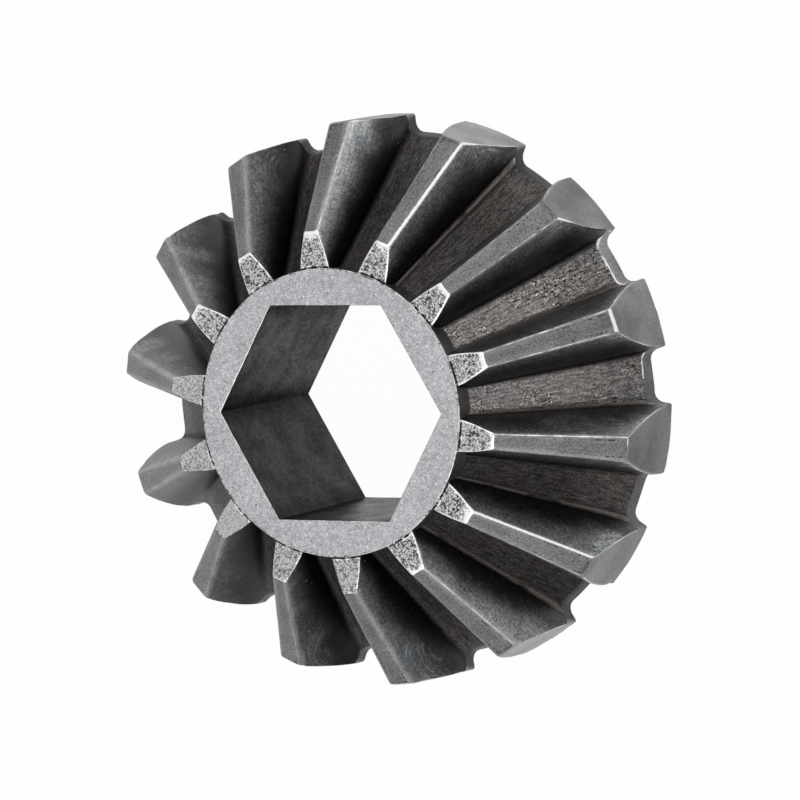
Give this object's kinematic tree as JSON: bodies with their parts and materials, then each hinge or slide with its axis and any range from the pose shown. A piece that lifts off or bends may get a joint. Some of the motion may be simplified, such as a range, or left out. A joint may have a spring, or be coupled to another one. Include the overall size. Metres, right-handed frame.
{
  "type": "bevel gear wheel",
  "caption": "Straight bevel gear wheel forged in one piece, with a turned hub ring at its small end and a hexagonal through bore.",
  "frame": {"origin": "centre of the flat back face, on the wheel's axis", "axes": "+Z along the axis from the back face towards the small end; +X through a corner of the hexagonal bore and the middle of a tooth"},
  "size_m": [0.0774, 0.077, 0.0252],
  "materials": {
    "forged_steel": "dark burnished forged steel, with a lighter turned hub face, worn bright tooth edges and rough brownish root floors"
  },
  "bodies": {
    "root": {"gear_wheel": "forged_steel"}
  },
  "joints": []
}
